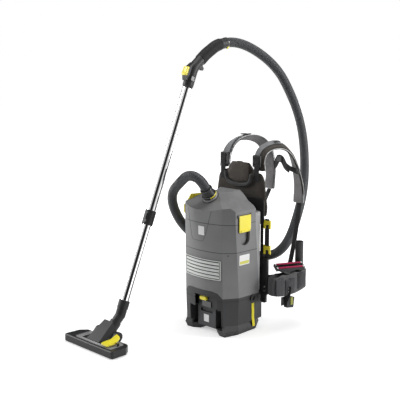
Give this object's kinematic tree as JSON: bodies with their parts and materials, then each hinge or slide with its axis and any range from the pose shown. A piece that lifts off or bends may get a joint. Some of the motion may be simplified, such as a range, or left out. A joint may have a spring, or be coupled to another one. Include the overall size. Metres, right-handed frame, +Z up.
{
  "type": "backpack vacuum cleaner",
  "caption": "Battery backpack vacuum cleaner on its base, with harness, looped hose, telescopic wand, hinged lid and grille, pull-out battery and tilting floor nozzle.",
  "frame": {"origin": "on the floor under the middle of the machine, on the flat underside of its base", "axes": "+Z up, -Y the outer side with the exhaust grille and the battery, +Y the wearer's side with the harness, +X the lid latch side"},
  "size_m": [0.5686, 1.2018, 1.2262],
  "materials": {
    "base_plastic": "fine-grained dark grey moulding",
    "foot_rubber": "matt black rubber",
    "contact_metal": "bright steel",
    "housing_grey": "mid grey moulding, satin",
    "rear_grey": "light grey moulding, satin",
    "filter_foam": "open-cell foam",
    "motor_metal": "die-cast",
    "filter_cloth": "non-woven cloth",
    "display_gloss": "gloss black",
    "yellow_plastic": "bright yellow moulding",
    "black_plastic": "satin black moulding",
    "pad_fabric": "brown-black spacer mesh",
    "grey_webbing": "woven grey webbing",
    "strap_fabric": "grey padded cloth",
    "black_webbing": "woven black webbing",
    "pouch_fabric": "dark grey cordura",
    "hose_plastic": "ribbed dark grey hose",
    "grille_silver": "silver paint",
    "grip_rubber": "soft-touch dark grey",
    "tube_chrome": "polished",
    "brush_bristle": "nylon bristle strips",
    "olive_plastic": "olive yellow moulding"
  },
  "bodies": {
    "machine": {"base_tray": "base_plastic", "base_feet": "foot_rubber", "battery_contacts": "contact_metal", "lower_housing": "housing_grey", "upper_housing": "housing_grey", "rear_cover": "rear_grey", "exhaust_filter": "filter_foam", "motor_unit": "motor_metal", "motor_mounts": "foot_rubber", "filter_basket": "base_plastic", "filter_bag": "filter_cloth", "display_panel": "display_gloss", "side_strap": "yellow_plastic", "strap_clasp": "black_plastic", "fasteners": "contact_metal", "back_frame": "black_plastic", "back_pad": "pad_fabric", "carry_handle": "grey_webbing", "shoulder_strap_left": "strap_fabric", "shoulder_strap_right": "strap_fabric", "strap_buckles": "black_plastic", "harness_webbing": "black_webbing", "chest_strap": "black_webbing", "hip_belt_left": "strap_fabric", "hip_belt_right": "strap_fabric", "accessory_pouch": "pouch_fabric", "control_unit": "black_plastic", "frame_clips": "yellow_plastic", "suction_hose": "hose_plastic"},
    "lid": {"lid_shell": "housing_grey", "lid_seal": "foot_rubber", "collar_ring": "rear_grey", "hose_cuff": "black_plastic", "hinge_bracket": "yellow_plastic", "hinge_pin": "contact_metal"},
    "latch": {"lid_latch": "yellow_plastic", "latch_pin": "contact_metal"},
    "grille": {"exhaust_grille": "grille_silver"},
    "battery": {"battery_pack": "base_plastic"},
    "release": {"battery_release": "yellow_plastic"},
    "handle": {"handle_cuff": "black_plastic", "handle_body": "black_plastic", "handle_grip": "grip_rubber", "upper_tube": "tube_chrome", "lock_housing": "black_plastic"},
    "handle_trigger": {"handle_button": "yellow_plastic"},
    "air_control": {"air_slider": "rear_grey"},
    "lock_release": {"lock_slider": "base_plastic"},
    "tube_release": {"tube_button": "contact_metal"},
    "lower_wand": {"lower_tube": "tube_chrome", "nozzle_neck": "black_plastic"},
    "knuckle": {"nozzle_knuckle": "black_plastic"},
    "nozzle": {"nozzle_body": "black_plastic", "nozzle_top_plate": "rear_grey"},
    "pedal": {"nozzle_pedal": "yellow_plastic"},
    "brushes": {"nozzle_brushes": "brush_bristle"},
    "rollers": {"nozzle_rollers": "foot_rubber"},
    "crevice": {"crevice_tool": "base_plastic"},
    "upholstery": {"upholstery_tool": "base_plastic"},
    "control": {"control_button": "olive_plastic"}
  },
  "joints": [
    {"name": "lid_hinge", "type": "hinge", "parent": "machine", "child": "lid", "pos_m": [-0.1524, 0, 0.473], "axis": [0, -1, 0], "range_deg": [0, 80], "deforming": ["suction_hose"]},
    {"name": "latch_pivot", "type": "hinge", "parent": "lid", "child": "latch", "pos_m": [0.1499, -0.024, 0.504], "axis": [0, -1, 0], "range_deg": [0, 95]},
    {"name": "grille_hinge", "type": "hinge", "parent": "machine", "child": "grille", "pos_m": [0, -0.135, 0.3225], "axis": [-1, 0, 0], "range_deg": [0, 90]},
    {"name": "battery_slide", "type": "slide", "parent": "machine", "child": "battery", "axis": [0, -1, 0], "range_m": [0, 0.14]},
    {"name": "release_press", "type": "hinge", "parent": "machine", "child": "release", "pos_m": [0, -0.107, 0.1562], "axis": [1, 0, 0], "range_deg": [0, 6], "stiffness_Nm_per_rad": 0.4},
    {"name": "wand_swivel", "type": "hinge", "parent": "machine", "child": "handle", "pos_m": [-0.161, 0.175, 1.195], "axis": [0, 0.9848, 0.1736], "continuous": true},
    {"name": "handle_button_press", "type": "slide", "parent": "handle", "child": "handle_trigger", "axis": [0, 0.9054, -0.4247], "range_m": [0, 0.002], "stiffness_N_per_m": 400},
    {"name": "air_slide", "type": "slide", "parent": "handle", "child": "air_control", "axis": [0, -0.3834, -0.9236], "range_m": [0, 0.012]},
    {"name": "lock_slide", "type": "slide", "parent": "handle", "child": "lock_release", "axis": [0, -0.3834, -0.9236], "range_m": [0, 0.006], "stiffness_N_per_m": 400},
    {"name": "tube_button_press", "type": "slide", "parent": "handle", "child": "tube_release", "axis": [0, -0.9236, 0.3834], "range_m": [0, 0.002], "stiffness_N_per_m": 400},
    {"name": "tube_telescope", "type": "slide", "parent": "handle", "child": "lower_wand", "axis": [0, -0.3834, -0.9236], "range_m": [-0.3, 0.05]},
    {"name": "neck_twist", "type": "hinge", "parent": "lower_wand", "child": "knuckle", "pos_m": [-0.161, -0.487, 0.044], "axis": [0, 0.7014, 0.7127], "range_deg": [-70, 70]},
    {"name": "nozzle_tilt", "type": "hinge", "parent": "knuckle", "child": "nozzle", "pos_m": [-0.161, -0.487, 0.044], "axis": [1, 0, 0], "range_deg": [-10, 45]},
    {"name": "pedal_rock", "type": "hinge", "parent": "nozzle", "child": "pedal", "pos_m": [-0.066, -0.535, 0.0455], "axis": [1, 0, 0], "range_deg": [0, 10]},
    {"name": "brush_lift", "type": "slide", "parent": "nozzle", "child": "brushes", "axis": [0, 0, -1], "range_m": [0, 0.004]},
    {"name": "roller_spin", "type": "hinge", "parent": "nozzle", "child": "rollers", "pos_m": [-0.161, -0.512, 0.0082], "axis": [1, 0, 0], "continuous": true},
    {"name": "crevice_lift", "type": "slide", "parent": "machine", "child": "crevice", "axis": [0, 0, 1], "range_m": [0, 0.15]},
    {"name": "upholstery_lift", "type": "slide", "parent": "machine", "child": "upholstery", "axis": [0, 0, 1], "range_m": [0, 0.1]},
    {"name": "control_press", "type": "slide", "parent": "machine", "child": "control", "axis": [-1, 0, 0], "range_m": [0, 0.0015], "stiffness_N_per_m": 400}
  ],
  "couplings": [
    {"joint": "brush_lift", "follows": "pedal_rock", "m_per_rad": 0.022918}
  ]
}
